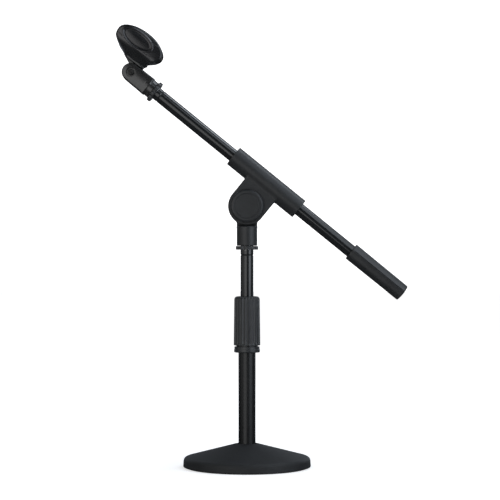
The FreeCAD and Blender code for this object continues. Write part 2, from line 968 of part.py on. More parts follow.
def pivot_cap():
    """Plain round cap over the bolt's head, with a stepped rim and a hollow back."""
    back = -S.ear_half - S.press_gap
    hollow = S.pivot_head_radius + S.cap_hollow_gap
    floor = back - S.pivot_head_height + S.pivot_head_sink - S.cap_floor_gap
    step = S.cap_front + S.cap_rim_step
    body = turned(
        "pivot_cap",
        [
            (0, S.cap_front),
            (S.cap_rim_radius, S.cap_front),
            (S.cap_rim_radius, step),
            (S.cap_rim_radius + S.cap_rim_step, step),
            (S.cap_rim_radius + S.cap_rim_step, S.cap_front),
            (S.cap_radius - S.cap_edge, S.cap_front),
            (S.cap_radius, S.cap_front + S.cap_edge_depth),
            (S.cap_radius, back),
            (hollow, back),
            (hollow, floor),
            (0, floor),
        ],
        role="XY_Plane",
    )
    finish(body, "pivot_cap", HEAD)


def pivot_washers():
    """Friction washer between the ears, and the plain washer under the knob."""
    inner = S.pivot_radius + S.bolt_gap
    friction = turned_ring(
        "friction_washer",
        inner,
        S.friction_radius,
        -S.ear_gap,
        S.friction_thick - S.ear_gap,
        "y",
    )
    finish(friction, "friction_washer", HEAD)
    start = S.ear_half + S.knob_stack_gap
    plain = turned_ring(
        "pivot_washer",
        S.pivot_radius + S.running_gap,
        S.pivot_washer_radius,
        start,
        start + S.pivot_washer_thick,
        "y",
    )
    finish(plain, "pivot_washer", HEAD)


def pivot_knob():
    """Five-lobed clamping knob behind the head, moulded round a threaded insert."""
    start = S.ear_half + S.knob_stack_gap + S.pivot_washer_thick
    insert_start = start + S.knob_insert_inset
    body = new_body("pivot_knob")
    blank = sketch_on(body, "XZ_Plane", "knob_blank", -start - S.knob_length)
    ring(blank, S.knob_radius)
    disc = body.newObject("PartDesign::Pad", "knob_disc")
    disc.Profile = blank
    bind(disc, "Length", S.knob_length)
    doc.recompute()
    notch = sketch_on(body, "XZ_Plane", "knob_notch_outline", -start)
    ring(notch, S.knob_notch_radius, (S.knob_radius + S.knob_notch_radius - S.knob_notch_reach, 0))
    scoop = pocket(body, notch, "knob_notch", flip=True, length=S.knob_length * 2, both=True)
    repeat_round(body, scoop, S.knob_lobes, "Y_Axis")
    far = start.number + S.knob_length.number

    def outer_rim(edge):
        return all(abs(vertex.Y - far) < NEAR for vertex in edge.Vertexes)

    round_edges(body, outer_rim, S.knob_edge)
    bore = sketch_on(body, "XZ_Plane", "knob_bore_outline", -start)
    ring(bore, S.knob_insert_radius + S.press_gap)
    pocket(body, bore, "knob_bore", length=S.knob_insert_length + S.knob_insert_inset * 2)
    finish(body, "pivot_knob", HEAD)

    insert = turned_ring(
        "knob_insert",
        S.pivot_radius + S.running_gap,
        S.knob_insert_radius,
        insert_start,
        insert_start + S.knob_insert_length,
        "y",
    )
    finish(insert, "knob_insert", HEAD)


# --------------------------------------------------------------------------- boom


def from_screw(distance):
    """Place along the rod frame of a distance measured from the clip's screw."""
    return distance - S.clip_reach


def boom_rod():
    """Boom tube, crimped near the clip's end onto its stud."""
    start = from_screw(S.rod_start)
    bore = S.tube_radius - S.tube_wall
    tube = turned_ring("boom_rod", bore, S.tube_radius, start, from_screw(S.rod_end), "x")
    crimp = from_screw(S.rod_crimp)
    bottom = S.tube_radius - S.crimp_depth
    turned_groove(
        tube,
        [
            (crimp - S.crimp_floor_half, bottom),
            (crimp + S.crimp_floor_half, bottom),
            (crimp + S.crimp_mouth_half, S.tube_radius + PAST),
            (crimp - S.crimp_mouth_half, S.tube_radius + PAST),
        ],
        axis="H_Axis",
    )
    finish(tube, "boom_rod", ROD)

    tip = from_screw(S.boom_stud_start)
    root_radius = bore - S.running_gap
    stud = turned(
        "boom_stud",
        [
            (tip, 0),
            (start + S.stud_grip, 0),
            (start + S.stud_grip, root_radius),
            (start, root_radius),
            (start, S.thread_radius),
            (tip + S.stud_point, S.thread_radius),
            (tip, S.thread_radius - S.stud_point),
        ],
        axis="H_Axis",
    )
    finish(stud, "boom_stud", ROD)


def counterweight():
    """Iron core on the end of the boom, inside a faceted grip."""
    start = from_screw(S.weight_start)
    end = start + S.weight_length
    floor = from_screw(S.rod_end) + S.weight_rod_gap
    bore = S.tube_radius + S.press_gap
    core_start = start + S.weight_wall_start
    core_end = end - S.weight_wall_end
    core = turned(
        "counterweight_core",
        [
            (core_start, bore),
            (floor, bore),
            (floor, 0),
            (core_end, 0),
            (core_end, S.weight_core_radius),
            (core_start, S.weight_core_radius),
        ],
        axis="H_Axis",
    )
    finish(core, "counterweight_core", ROD)

    well_radius = S.weight_core_radius + S.press_gap
    well_end = core_end + S.press_gap
    grip = turned(
        "counterweight_grip",
        [
            (start, bore),
            (core_start, bore),
            (core_start, well_radius),
            (well_end, well_radius),
            (well_end, 0),
            (end, 0),
            (end, S.weight_end_radius),
            (start, S.weight_radius),
        ],
        axis="H_Axis",
    )
    round_edges(grip, on_circle(S.weight_end_radius, end, axis=0), S.weight_end_round)
    groove = sketch_on(grip, "YZ_Plane", "weight_groove_outline", start)
    ring(groove, S.weight_groove_radius, (0, S.weight_radius))
    line = pocket(grip, groove, "weight_groove", flip=True)
    repeat_round(grip, line, S.weight_facets, "X_Axis")
    finish(grip, "counterweight_grip", ROD)


def boom_lock_ring():
    """Lobed ring on the boom's stud that locks the clip's yoke."""
    body = lobed(
        "boom_lock_ring",
        S.boom_ring_radius,
        S.thread_radius + S.thread_gap,
        from_screw(S.boom_ring_start),
        S.lock_ring_length,
        S.lock_notch_radius,
        S.lock_notch_reach,
        S.lock_lobes,
        "YZ_Plane",
        "X_Axis",
    )
    finish(body, "boom_lock_ring", ROD)


# --------------------------------------------------------------------------- clip


def clip_yoke():
    """Fork for the clip's tongue, with a round root that screws on the boom's stud."""
    body = new_body("clip_yoke")
    plan = sketch_on(body, "XZ_Plane", "yoke_plan")
    outline(
        plan,
        [
            (0, -S.yoke_end_radius),
            (S.yoke_block_length, -S.yoke_root_half),
            (S.yoke_block_length, S.yoke_root_half),
            (0, S.yoke_end_radius),
        ],
    )
    block = body.newObject("PartDesign::Pad", "yoke_block")
    block.Profile = plan
    block.Midplane = True
    bind(block, "Length", S.yoke_half_width * 2)
    end = sketch_on(body, "XZ_Plane", "yoke_end_plan")
    ring(end, S.yoke_end_radius)
    nose = body.newObject("PartDesign::Pad", "yoke_nose")
    nose.Profile = end
    nose.Midplane = True
    bind(nose, "Length", S.yoke_half_width * 2)
    doc.recompute()
    half = S.yoke_half_width.number

    def face_rim(edge):
        middle = edge.valueAt((edge.FirstParameter + edge.LastParameter) * HALF)
        on_face = all(abs(abs(vertex.Y) - half) < NEAR for vertex in edge.Vertexes)
        same_face = abs(abs(middle.y) - half) < NEAR
        return on_face and same_face and middle.x < S.yoke_block_length.number - NEAR

    round_edges(body, face_rim, S.yoke_edge)

    root = sketch_on(body, "XZ_Plane", "yoke_root_outline")
    inside = S.yoke_block_length - S.yoke_root_bite
    outline(
        root,
        [
            (inside, 0),
            (S.yoke_barrel_end, 0),
            (S.yoke_barrel_end, S.yoke_barrel_radius),
            (inside, S.yoke_barrel_radius),
        ],
    )
    barrel = body.newObject("PartDesign::Revolution", "yoke_root")
    barrel.Profile = root
    barrel.ReferenceAxis = (root, ["H_Axis"])
    barrel.Angle = FULL_TURN
    doc.recompute()

    slot = sketch_on(body, "XY_Plane", "yoke_slot_plan")
    open_end = -S.yoke_end_radius - PAST
    outline(
        slot,
        [
            (open_end, -S.yoke_slot_half),
            (S.yoke_slot_end, -S.yoke_slot_half),
            (S.yoke_slot_end, S.yoke_slot_half),
            (open_end, S.yoke_slot_half),
        ],
    )
    pocket(body, slot, "yoke_slot", length=S.yoke_root_half * 4, both=True)

    way = sketch_on(body, "YZ_Plane", "yoke_insert_outline", S.yoke_insert_start)
    ring(way, S.yoke_insert_radius)
    pocket(body, way, "yoke_insert_way", flip=True)

    hole = sketch_on(body, "XZ_Plane", "yoke_screw_outline")
    ring(hole, S.clip_screw_radius + S.press_gap)
    pocket(body, hole, "yoke_screw_way", length=S.yoke_half_width * 4, both=True)

    sink = sketch_on(body, "XZ_Plane", "yoke_sink_outline", S.yoke_half_width - S.clip_screw_sink)
    ring(sink, S.clip_screw_head)
    pocket(body, sink, "yoke_sink", length=S.clip_screw_sink + PAST, flip=True)

    seat = sketch_on(body, "XZ_Plane", "yoke_nut_outline", -S.yoke_half_width)
    ring(seat, corner_radius(S.nut_across) + S.bolt_gap)
    pocket(body, seat, "yoke_nut_way", length=S.yoke_half_width - S.nut_seat, flip=True)
    finish(body, "clip_yoke", TIP)


def yoke_fixings():
    """Threaded insert of the yoke, and the slotted screw with its washer and nut."""
    insert = turned_ring(
        "yoke_thread_insert",
        S.thread_radius + S.thread_gap,
        S.yoke_insert_radius - S.press_gap,
        S.yoke_insert_start,
        S.yoke_barrel_end - S.insert_inset,
        "x",
    )
    finish(insert, "yoke_thread_insert", TIP)

    head_depth = S.clip_screw_sink - S.screw_head_inset
    head_radius = S.clip_screw_head - S.screw_head_gap
    seat = -S.yoke_half_width + S.clip_screw_sink
    shank_end = S.nut_seat + S.lock_washer_thick + S.nut_thick
    shank = cylinder(
        "screw_shank", S.clip_screw_radius - S.press_gap, shank_end - seat, (0, seat, 0), "y"
    )
    head = cone(
        "screw_head",
        head_radius - S.screw_head_taper,
        head_radius,
        head_depth,
        (0, seat - head_depth, 0),
        "y",
    )
    half = S.clip_screw_slot * HALF
    head_front = seat - head_depth
    slot = box(
        "screw_slot",
        (-S.clip_screw_head, head_front - PAST, -half),
        (S.clip_screw_head, head_front + S.screw_slot_depth, half),
    )
    whole = fuse("screw_whole", [shank, head])
    finish(cut("screw_slotted", whole, [slot]), "clip_screw", TIP)

    washer = turned_ring(
        "clip_lock_washer",
        S.clip_screw_radius + S.running_gap,
        S.nut_across * HALF,
        S.nut_seat,
        S.nut_seat + S.lock_washer_thick,
        "y",
    )
    finish(washer, "clip_lock_washer", TIP)
    nut_start = S.nut_seat + S.lock_washer_thick
    blank = hexagon("nut_blank", S.nut_across, S.nut_thick, (0, nut_start, 0), "y")
    way = cylinder(
        "nut_way", S.clip_screw_radius, S.nut_thick + PAST * 2, (0, nut_start - PAST, 0), "y"
    )
    finish(cut("nut", blank, [way]), "clip_nut", TIP)


def oval_bar(name, across, up, length, at, along):
    """Solid bar of oval section; across and up are half axes of the section."""
    wide = across.number >= up.number
    oval = doc.addObject("Part::Ellipse", f"{name}_section")
    bind(oval, "MajorRadius", across if wide else up)
    bind(oval, "MinorRadius", up if wide else across)
    bar = doc.addObject("Part::Extrusion", name)
    bar.Base = oval
    bar.DirMode = "Custom"
    bar.Dir = Vector(0, 0, 1)
    bar.Solid = True
    bar.Symmetric = True
    bind(bar, "LengthFwd", length)
    quarter = Rotation() if wide else Rotation(Vector(0, 0, 1), QUARTER_TURN)
    move(bar, at, TURNS[along].multiply(quarter))
    return bar


def flared_bar(name, foot, head):
    """Bar that flares upwards; foot and head are height, start, end and half width."""
    bar = doc.addObject("Part::Wedge", name)
    bar.Placement = Placement(Vector(), Rotation(Vector(1, 0, 0), QUARTER_TURN))
    levels = (("", "Ymin", foot), ("2", "Ymax", head))
    for level, place, (height, start, end, half) in levels:
        bind(bar, place, height)
        bind(bar, f"X{level}min", start)
        bind(bar, f"X{level}max", end)
        bind(bar, f"Z{level}min", -half)
        bind(bar, f"Z{level}max", half)
    return bar


def mic_clip():
    """Sprung C-shaped saddle with oval sides, on a narrow tongue."""
    centre = (S.clip_centre, 0, S.clip_axis_height)
    width = S.clip_wall_width
    span = S.clip_half_length * 2
    sides = oval_bar("clip_sides", S.clip_half_length, S.clip_half_height, width * 3, centre, "y")
    plan = oval_bar("clip_plan", S.clip_plan_half_length, width, span * 2, centre, "z")
    barrel = oval_bar("clip_barrel", S.clip_wall_height, width, span, centre, "x")
    shell = common("clip_shell", [sides, plan, barrel])

    saddle = flared_bar(
        "clip_saddle",
        (S.clip_plate_height, S.clip_plate_start, S.clip_plate_end, S.clip_plate_half),
        (S.clip_saddle_height, S.clip_saddle_start, S.clip_saddle_end, S.clip_saddle_half),
    )
    heel = flared_bar(
        "tongue_heel",
        (S.tongue_heel_height, S.tongue_heel_start, 0, S.tongue_half),
        (S.clip_plate_height + PAST, S.clip_plate_start - PAST, 0, S.tongue_half),
    )

    tongue = cylinder(
        "tongue_end", S.tongue_radius, S.tongue_half * 2, (0, -S.tongue_half, 0), "y"
    )
    stem = box(
        "tongue_stem",
        (-S.tongue_radius, -S.tongue_half, 0),
        (S.tongue_stem_end, S.tongue_half, S.clip_plate_height + PAST),
    )
    bore = cylinder(
        "clip_bore", S.clip_bore, span * 2, (S.clip_centre - span, 0, S.clip_axis_height), "x"
    )
    mouth = box(
        "clip_mouth",
        (S.clip_centre - span, -S.clip_mouth_half, S.clip_axis_height),
        (S.clip_centre + span, S.clip_mouth_half, S.clip_axis_height + S.clip_wall_height * 2),
    )
    screw_way = cylinder(
        "tongue_bore",
        S.clip_screw_radius + S.running_gap,
        S.tongue_half * 4,
        (0, -S.tongue_half * 2, 0),
        "y",
    )
    whole = fuse("clip_whole", [shell, saddle, heel, tongue, stem])
    finish(cut("clip_open", whole, [bore, mouth, screw_way]), "mic_clip", CLIP)


# --------------------------------------------------------------------------- build

base_casting()
base_fixings()
lower_upright()
clutch_seat()
clutch_collet()
clutch_grip()
upper_upright()
upper_lock_ring()
swivel_socket()
boom_holder()
sleeve_bushes()
clamp_shoe()
pivot_bolt()
pivot_cap()
pivot_washers()
pivot_knob()
boom_rod()
counterweight()
boom_lock_ring()
clip_yoke()
yoke_fixings()
mic_clip()
doc.recompute()

for thing in doc.Objects:
    if {"Invalid", "Error"} & set(thing.State):
        raise RuntimeError(f"{thing.Name} failed: {thing.State}")
os.makedirs("parts", exist_ok=True)
for piece in PIECES:
    shape = piece.Shape
    if shape.isNull() or not shape.isValid():
        raise RuntimeError(f"{piece.Label} has no valid shape")
    shape.exportStep(f"parts/{piece.Label}.step")
    volume = shape.Volume / CUBIC_MM_PER_CM3
    print(f"{piece.Label}: {len(shape.Solids)} solid, {volume:.2f} cm3")
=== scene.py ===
"""Looks of the boom microphone stand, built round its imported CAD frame.

The scene is in metres. Each piece is shaped in millimetres in a local frame: UPRIGHT
stands on the floor, HEAD has the boom pivot as origin with X along the boom towards the
counterweight, TIP is HEAD moved to the screw of the clip's yoke, and CLIP is TIP leant
the way the clip rests. BOOM, FRONT and BACK are those frames with Z along the axis that
a turned piece is made about.
"""
import itertools
import json
import math

import bpy
import numpy as np
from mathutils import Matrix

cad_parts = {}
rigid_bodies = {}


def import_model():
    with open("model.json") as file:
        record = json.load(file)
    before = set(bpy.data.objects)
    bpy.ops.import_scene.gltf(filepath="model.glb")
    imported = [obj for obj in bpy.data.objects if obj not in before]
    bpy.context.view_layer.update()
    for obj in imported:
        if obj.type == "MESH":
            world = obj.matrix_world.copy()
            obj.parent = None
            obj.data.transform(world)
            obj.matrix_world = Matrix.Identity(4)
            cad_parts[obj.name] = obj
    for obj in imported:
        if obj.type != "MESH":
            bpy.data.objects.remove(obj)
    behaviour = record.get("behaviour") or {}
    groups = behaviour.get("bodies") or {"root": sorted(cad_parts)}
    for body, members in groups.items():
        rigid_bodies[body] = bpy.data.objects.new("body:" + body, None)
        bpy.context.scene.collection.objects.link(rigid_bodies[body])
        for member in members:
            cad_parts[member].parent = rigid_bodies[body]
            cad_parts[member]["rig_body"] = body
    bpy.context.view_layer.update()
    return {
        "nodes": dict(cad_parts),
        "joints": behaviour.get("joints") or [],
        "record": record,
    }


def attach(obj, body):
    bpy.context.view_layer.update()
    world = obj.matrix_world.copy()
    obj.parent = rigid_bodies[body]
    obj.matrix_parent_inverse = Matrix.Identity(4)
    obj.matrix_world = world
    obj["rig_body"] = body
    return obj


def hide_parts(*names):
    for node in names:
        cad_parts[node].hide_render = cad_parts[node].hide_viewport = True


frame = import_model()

MM = 0.001
FULL_TURN = 2 * math.pi
TINY = 1e-9  # tells a radius from none, and keeps a division from failing
EDGE = 0.3  # usual rounding of a section's corner, in millimetres
ARC_STEP = math.radians(14)  # turn of a rounded corner from one point to the next
FIT = 0.02  # clearance between a piece and what sits in it or on it, in millimetres

# --------------------------------------------------------------------------- frames


def unit(vector):
    vector = np.array(vector, float)
    return vector / np.linalg.norm(vector)


class Place:
    """A local frame in millimetres, with its origin in metres and its axes as rows."""

    def __init__(self, origin, x_axis, z_axis):
        self.origin = np.array(origin, float)
        self.axes = np.array([unit(x_axis), np.cross(unit(z_axis), unit(x_axis)), unit(z_axis)])

    def world(self, points):
        return self.origin + points @ self.axes * MM

    def local(self, points):
        return (np.asarray(points, float) - self.origin) @ self.axes.T / MM

    def turned(self, x_axis, z_axis):
        """The same origin with other axes, which are given in this frame."""
        return Place(self.origin, x_axis @ self.axes, z_axis @ self.axes)


SLOTS = {name: node.data.materials[0].name for name, node in frame["nodes"].items()}
JOINTS = {joint["name"]: joint for joint in frame["joints"]}
BARREL = next(m for m in frame["record"]["mounts"] if m["name"] == "mic_barrel")
SIDE = np.array([0.0, 1.0, 0.0])
ALONG = -np.array(JOINTS["boom_slide"]["axis"], float)
CLIP_ALONG = -np.array(BARREL["axis"], float)

UPRIGHT = Place((0, 0, 0), (1, 0, 0), (0, 0, 1))
HEAD = Place(JOINTS["boom_tilt"]["pos_m"], ALONG, np.cross(ALONG, SIDE))
TIP = Place(JOINTS["clip_tilt"]["pos_m"], ALONG, np.cross(ALONG, SIDE))
CLIP = Place(JOINTS["clip_tilt"]["pos_m"], CLIP_ALONG, np.cross(CLIP_ALONG, SIDE))
BOOM = TIP.turned(np.array([0, 0, -1]), np.array([1, 0, 0]))
FRONT = HEAD.turned(np.array([1, 0, 0]), np.array([0, -1, 0]))
BACK = HEAD.turned(np.array([1, 0, 0]), np.array([0, 1, 0]))


def corners_of(node):
    """Every vertex of a CAD node, in metres."""
    mesh = frame["nodes"][node].data
    flat = np.empty(len(mesh.vertices) * 3, np.float32)
    mesh.vertices.foreach_get("co", flat)
    return flat.reshape(-1, 3).astype(float)


def extent(node, place):
    """Lowest and highest corner of a CAD node in a local frame, in millimetres."""
    points = place.local(corners_of(node))
    return points.min(0), points.max(0)


def girth(node, place):
    """Inner radius, outer radius, lowest Z and highest Z of a CAD node about a frame's Z."""
    points = place.local(corners_of(node))
    radius = np.hypot(points[:, 0], points[:, 1])
    return radius.min(), radius.max(), points[:, 2].min(), points[:, 2].max()


# --------------------------------------------------------------------------- meshes


def new_piece(name, points, faces, normals):
    """A smooth mesh object; points are in metres and normals are unit vectors."""
    mesh = bpy.data.meshes.new(name)
    mesh.from_pydata(points.tolist(), [], faces)
    mesh.shade_smooth()
    mesh.normals_split_custom_set_from_vertices(normals.tolist())
    piece = bpy.data.objects.new(name, mesh)
    bpy.context.scene.collection.objects.link(piece)
    return piece


def stand_for(piece, node):
    """The piece takes a CAD node's place, on the same body and in the same finish."""
    piece.data.materials.append(FINISHES[SLOTS[node]])
    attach(piece, frame["nodes"][node]["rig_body"])
    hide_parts(node)


def area_normals(points, faces):
    """Vertex normals weighted by area, so that flats stay flat beside small roundings."""
    normals = np.zeros_like(points)
    for size in {len(face) for face in faces}:
        group = np.array([face for face in faces if len(face) == size])
        first, second, third, last = (points[group[:, k]] for k in (0, 1, 2, -1))
        spread = np.cross(third - first, last - second if size == 4 else third - second)
        for k in range(size):
            np.add.at(normals, group[:, k], spread)
    return normals / np.linalg.norm(normals, axis=1)[:, None]


def outline(*corners, spacing=None):
    """Closed section through (radius, height) corners; a third number is the rounding.

    A spacing adds points along the straight runs, for shapes that change on the way.
    """
    points = []
    for i, corner in enumerate(corners):
        here = np.array(corner[:2], float)
        rounding = corner[2] if len(corner) > 2 else EDGE
        before = unit(np.array(corners[i - 1][:2]) - here)
        after = unit(np.array(corners[(i + 1) % len(corners)][:2]) - here)
        half = math.acos(np.clip(before @ after, -1, 1)) / 2
        sweep = math.pi - 2 * half
        if rounding == 0 or sweep < ARC_STEP / 2:
            points.append(here)
            continue
        middle = here + unit(before + after) * rounding / math.sin(half)
        start = here + before * rounding / math.tan(half) - middle
        end = here + after * rounding / math.tan(half) - middle
        steps = max(2, math.ceil(sweep / ARC_STEP))
        for t in np.linspace(0, 1, steps + 1):
            swung = start * math.sin((1 - t) * sweep) + end * math.sin(t * sweep)
            points.append(middle + swung / math.sin(sweep))
    if spacing is None:
        return np.array(points)
    runs = zip(points, points[1:] + points[:1])
    return np.array([p for a, b in runs for p in parted(a, b, spacing)])


def parted(start, end, spacing):
    """Start, and the points that divide the run to end into steps of about spacing."""
    count = max(1, math.ceil(np.linalg.norm(end - start) / spacing))
    return [start + (end - start) * k / count for k in range(count)]


def turn(name, place, section, shape=None, sides=128):
    """A turned piece about a frame's Z; shape(radius, height, angle) gives new radii."""
    across, up = section.T
    if np.sum(across * np.roll(up, -1) - np.roll(across, -1) * up) < 0:
        section = section[::-1]  # so that the faces look outwards
    angle = np.arange(sides) * FULL_TURN / sides
    radius = np.repeat(section[:, :1], sides, 1)
    height = np.repeat(section[:, 1:], sides, 1)
    on_axis = section[:, 0] < TINY
    if shape is not None:
        radius = np.where(on_axis[:, None], 0, shape(radius, height, angle[None, :]))
    grid = np.stack([radius * np.cos(angle), radius * np.sin(angle), height], -1)
    index = np.arange(grid.size // 3).reshape(radius.shape)
    index[on_axis] = index[on_axis][:, :1]
    faces = []
    for a in range(len(section)):
        b = (a + 1) % len(section)
        if on_axis[a] and on_axis[b]:
            continue
        for k in range(sides):
            face = (index[a, k], index[a, k - 1], index[b, k - 1], index[b, k])
            faces.append(tuple(dict.fromkeys(int(v) for v in face)))
    used = sorted({v for face in faces for v in face})
    renumber = {v: i for i, v in enumerate(used)}
    faces = [tuple(renumber[v] for v in face) for face in faces]
    points = place.world(grid.reshape(-1, 3)[used])
    return new_piece(name, points, faces, area_normals(points, faces))


def tube(name, node, place, groove=None):
    """A plain tube the size of a CAD node, crimped round at the height groove, if given."""
    _, outer, low, high = girth(node, place)
    inner = outer - TUBE_WALL
    corners = [(inner, low), (outer, low)]
    if groove is not None:
        corners += [
            (outer, groove - CRIMP_HALF),
            (outer - CRIMP_DEPTH, groove),
            (outer, groove + CRIMP_HALF),
        ]
    corners += [(outer, high), (inner, high)]
    return turn(name, place, outline(*corners))


def notched(count, notch, reach, inside, soft, phase=0.0):
    """Notches of radius notch for turn(), cut reach deep in what lies further out than inside.

    Their edges and their inner ends are softened over soft.
    """

    def shape(radius, height, angle):
        middle = radius + notch - reach
        swing = (angle - phase + math.pi / count) % (FULL_TURN / count) - math.pi / count
        under = np.maximum(notch**2 - (middle * np.sin(swing)) ** 2, 0)
        cut = np.where(under > 0, middle * np.cos(swing) - np.sqrt(under), radius + notch)
        share = np.clip((radius - inside) / soft, 0, 1)
        return radius + share * (join(radius, cut, soft) - radius)

    return shape


def ramp(value, start, end):
    """0 before start and 1 after end, with a smooth passage."""
    t = np.clip((value - start) / (end - start), 0, 1)
    return t * t * (3 - 2 * t)


# ------------------------------------------------------- shapes given by a distance
# A field is about the distance in millimetres to a surface, and it is negative inside.

PROBE = 0.02  # how far on each side a field is read for its slope
PULLS = 4  # how often a vertex is drawn onto the surface
LEAST_SLOPE = 0.2  # squared slope below which a field isn't trusted any further


def meet(first, second, edge):
    """What two fields share, with the edge between them rounded."""
    sharp = np.minimum(np.maximum(first, second), -edge)
    return sharp + np.hypot(np.maximum(first + edge, 0), np.maximum(second + edge, 0))


def join(first, second, root):
    """Two fields together, with a fillet where they join."""
    return -meet(-first, -second, root)


def slab(value, low, high):
    return np.maximum(low - value, value - high)


def disc(across, up, radius):
    return np.hypot(across, up) - radius


def oval(across, up, half_across, half_up):
    """Close to the distance from an ellipse."""
    near = np.hypot(across / half_across, up / half_up)
    slope = np.hypot(across / half_across**2, up / half_up**2)
    return near * (near - 1) / np.maximum(slope, TINY)


def slope_of(field, points):
    """Gradient of a field at points."""
    shifts = np.eye(3) * PROBE
    return np.stack([field(points + s) - field(points - s) for s in shifts], -1) / (2 * PROBE)


def sculpt(name, place, field, low, high, step):
    """The surface where a field is zero, with one vertex in each grid cell that it crosses."""
    axes = [np.arange(a - 2 * step, b + 3 * step, step) for a, b in zip(low, high)]
    grid = np.stack(np.meshgrid(*axes, indexing="ij"), -1)
    value = field(grid.reshape(-1, 3)).reshape(grid.shape[:3])
    cells = tuple(n - 1 for n in value.shape)

    def shifted(array, offset):
        return array[tuple(slice(o, o + n) for o, n in zip(offset, cells))]

    total = np.zeros(cells + (3,))
    hits = np.zeros(cells)
    for axis in range(3):
        others = [k for k in range(3) if k != axis]
        for pair in itertools.product((0, 1), repeat=2):
            start = [0, 0, 0]
            start[others[0]], start[others[1]] = pair
            end = list(start)
            end[axis] = 1
            one, two = shifted(value, start), shifted(value, end)
            crossed = (one < 0) != (two < 0)
            share = np.where(crossed, one / np.where(crossed, one - two, 1), 0)
            crossing = shifted(grid, start) + share[..., None] * step * np.eye(3)[axis]
            total += crossing * crossed[..., None]
            hits += crossed
    mixed = hits > 0
    points = total[mixed] / hits[mixed][:, None]
    number = np.full(cells, -1)
    number[mixed] = np.arange(len(points))

    faces = []
    for axis in range(3):
        b, c = (axis + 1) % 3, (axis + 2) % 3
        inner = [slice(1, -1)] * 3
        inner[axis] = slice(0, -1)
        ahead = list(inner)
        ahead[axis] = slice(1, None)
        one, two = value[tuple(inner)] < 0, value[tuple(ahead)] < 0
        for leaving in (True, False):
            at = np.argwhere((one & ~two) if leaving else (~one & two))
            at[:, b] += 1
            at[:, c] += 1
            ring = [(0, 0), (-1, 0), (-1, -1), (0, -1)]
            loop = []
            for shift_b, shift_c in ring if leaving else ring[::-1]:
                cell = at.copy()
                cell[:, b] += shift_b
                cell[:, c] += shift_c
                loop.append(number[cell[:, 0], cell[:, 1], cell[:, 2]])
            faces.append(np.stack(loop, 1))
    faces = np.concatenate(faces)
    for _ in range(PULLS):
        slope = slope_of(field, points)
        pull = field(points) / np.maximum((slope**2).sum(1), LEAST_SLOPE)
        points = points - slope * np.clip(pull, -step, step)[:, None]
    normals = slope_of(field, points) @ place.axes
    normals /= np.linalg.norm(normals, axis=1)[:, None]
    return new_piece(name, place.world(points), faces.tolist(), normals)


# --------------------------------------------------------------------------- finishes


def finish(
    slot,
    dark,
    light,
    roughness,
    grain=1800,
    bump=0.02,
    mottle=60,
    uneven=0.04,
    metallic=0.0,
    stretch=(1, 1, 1),
    specular=0.5,
):
    """Moulded, painted or drawn surface: mottled colour, uneven gloss and a fine grain.

    The scales of grain and mottle are per metre, and bump is the grain's depth in millimetres.
    """
    mottle_detail, grain_detail, bump_strength = 5, 3, 0.6
    dark_below, light_above = 0.3, 0.7
    material = bpy.data.materials.new(slot + "_finish")
    material.use_nodes = True
    nodes = material.node_tree.nodes
    link = material.node_tree.links.new
    shader = nodes["Principled BSDF"]
    shader.inputs["Metallic"].default_value = metallic
    shader.inputs["Specular IOR Level"].default_value = specular
    where = nodes.new("ShaderNodeTexCoord")
    scaled = nodes.new("ShaderNodeMapping")
    scaled.inputs["Scale"].default_value = stretch
    link(where.outputs["Object"], scaled.inputs["Vector"])

    clouds = nodes.new("ShaderNodeTexNoise")
    clouds.inputs["Scale"].default_value = mottle
    clouds.inputs["Detail"].default_value = mottle_detail
    link(scaled.outputs["Vector"], clouds.inputs["Vector"])
    tint = nodes.new("ShaderNodeValToRGB")
    tint.color_ramp.elements[0].position = dark_below
    tint.color_ramp.elements[0].color = (*dark, 1)
    tint.color_ramp.elements[1].position = light_above
    tint.color_ramp.elements[1].color = (*light, 1)
    link(clouds.outputs["Fac"], tint.inputs["Fac"])
    link(tint.outputs["Color"], shader.inputs["Base Color"])

    specks = nodes.new("ShaderNodeTexNoise")
    specks.inputs["Scale"].default_value = grain
    specks.inputs["Detail"].default_value = grain_detail
    link(scaled.outputs["Vector"], specks.inputs["Vector"])
    gloss = nodes.new("ShaderNodeMapRange")
    gloss.inputs["To Min"].default_value = roughness - uneven
    gloss.inputs["To Max"].default_value = roughness + uneven
    link(clouds.outputs["Fac"], gloss.inputs["Value"])
    link(gloss.outputs["Result"], shader.inputs["Roughness"])
    relief = nodes.new("ShaderNodeBump")
    relief.inputs["Strength"].default_value = bump_strength
    relief.inputs["Distance"].default_value = bump * MM
    link(specks.outputs["Fac"], relief.inputs["Height"])
    link(relief.outputs["Normal"], shader.inputs["Normal"])
    return material


def grey(level, warm=0.0):
    """A grey that leans to red and away from blue as warm rises."""
    return level * (1 + warm), level, level * (1 - warm)


COOL = -0.08  # the warmth of a black that leans to blue

